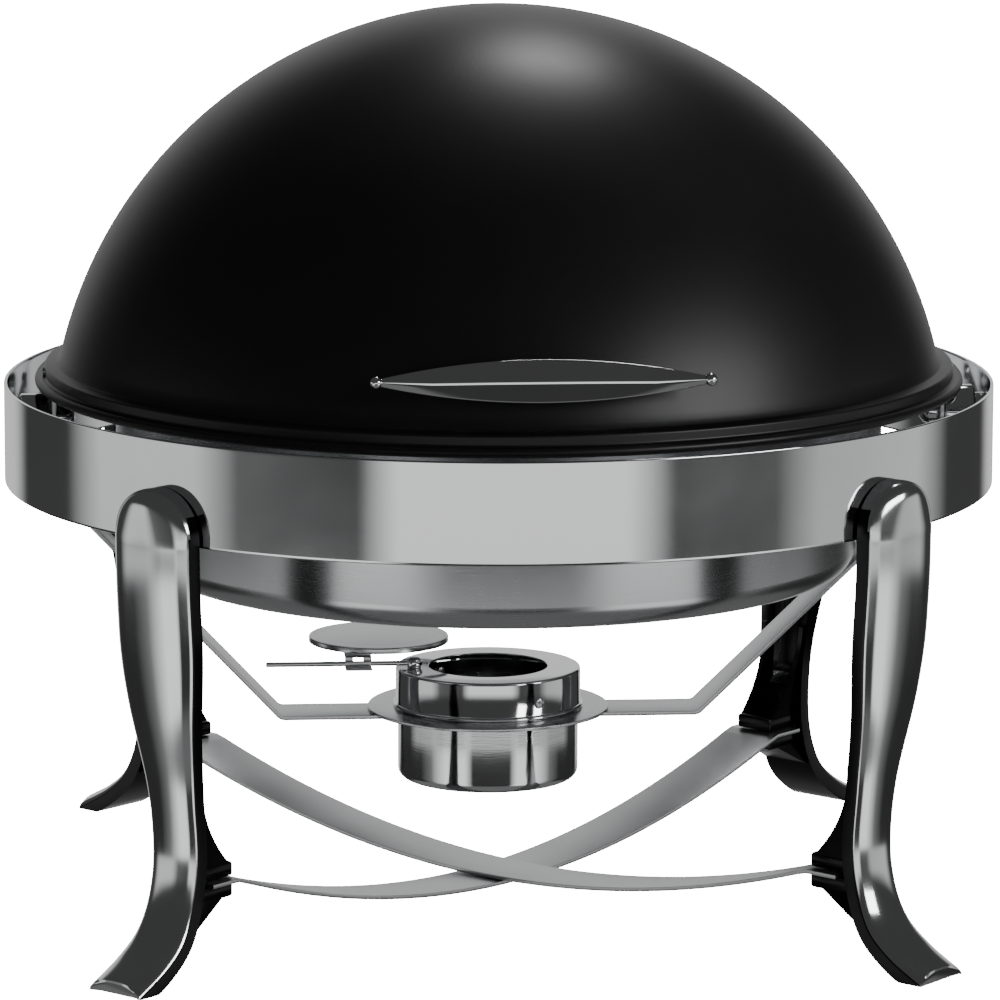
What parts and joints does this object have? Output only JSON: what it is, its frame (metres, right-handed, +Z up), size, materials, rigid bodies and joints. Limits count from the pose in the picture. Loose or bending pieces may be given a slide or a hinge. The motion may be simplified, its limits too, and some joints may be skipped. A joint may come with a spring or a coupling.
{
  "type": "roll top chafer",
  "caption": "Round chafing dish with a domed lid that rolls back inside a ring, a food pan in a water pan, four curved legs on crossed braces and a fuel burner with a swinging snuffer.",
  "frame": {"origin": "on the ground under the middle of the ring", "axes": "+Z up, the lid's handle on the -Y side, the lid's pivots on the X axis's two sides, the lid rolling back towards +Y"},
  "size_m": [0.48, 0.48, 0.436],
  "materials": {
    "black_coat": "soft matte black coating",
    "polished_steel": "polished stainless steel",
    "satin_steel": "satin stainless steel sheet",
    "chrome": "mirror chrome",
    "fastener_steel": "plain stainless fasteners"
  },
  "bodies": {
    "stand": {"arm_nut_left": "fastener_steel", "arm_nut_right": "fastener_steel", "arm_screw_left": "fastener_steel", "arm_screw_right": "fastener_steel", "brace_lower": "satin_steel", "brace_screw_front_left": "fastener_steel", "brace_screw_front_right": "fastener_steel", "brace_screw_rear_left": "fastener_steel", "brace_screw_rear_right": "fastener_steel", "brace_upper": "satin_steel", "burner_arm_left": "satin_steel", "burner_arm_right": "satin_steel", "burner_plate": "satin_steel", "leg_front_left": "chrome", "leg_front_right": "chrome", "leg_rear_left": "chrome", "leg_rear_right": "chrome", "leg_screw_front_left_lower": "fastener_steel", "leg_screw_front_left_upper": "fastener_steel", "leg_screw_front_right_lower": "fastener_steel", "leg_screw_front_right_upper": "fastener_steel", "leg_screw_rear_left_lower": "fastener_steel", "leg_screw_rear_left_upper": "fastener_steel", "leg_screw_rear_right_lower": "fastener_steel", "leg_screw_rear_right_upper": "fastener_steel", "pan_support_ring": "satin_steel", "pivot_nut_left": "chrome", "pivot_nut_right": "chrome", "pivot_stud_left": "chrome", "pivot_stud_right": "chrome", "ring": "polished_steel", "support_bracket_left": "satin_steel", "support_bracket_right": "satin_steel", "water_pan": "satin_steel"},
    "lid": {"ear_rivet_left_front": "fastener_steel", "ear_rivet_left_rear": "fastener_steel", "ear_rivet_right_front": "fastener_steel", "ear_rivet_right_rear": "fastener_steel", "handle": "chrome", "handle_nut_left": "fastener_steel", "handle_nut_right": "fastener_steel", "lid_ear_left": "satin_steel", "lid_ear_right": "satin_steel", "lid_shell": "black_coat"},
    "food_pan": {"food_pan": "satin_steel"},
    "burner": {"burner_cup": "chrome", "burner_collar": "chrome", "collar_rivet_front": "fastener_steel", "collar_rivet_rear": "fastener_steel", "snuffer_pivot": "fastener_steel"},
    "snuffer": {"snuffer_disc": "satin_steel", "snuffer_tab": "satin_steel", "snuffer_lever": "chrome"}
  },
  "joints": [
    {"name": "lid_roll", "type": "hinge", "parent": "stand", "child": "lid", "pos_m": [0, 0, 0.237], "axis": [-1, 0, 0], "range_deg": [0, 90]},
    {"name": "food_pan_lift", "type": "slide", "parent": "stand", "child": "food_pan", "axis": [0, 0, 1], "range_m": [0, 0.02]},
    {"name": "burner_lift", "type": "slide", "parent": "stand", "child": "burner", "axis": [0, 0, 1], "range_m": [0, 0.036]},
    {"name": "snuffer_swing", "type": "hinge", "parent": "burner", "child": "snuffer", "pos_m": [-0.0415, -0.004, 0.1143], "axis": [0, 0, -1], "range_deg": [0, 109]}
  ]
}
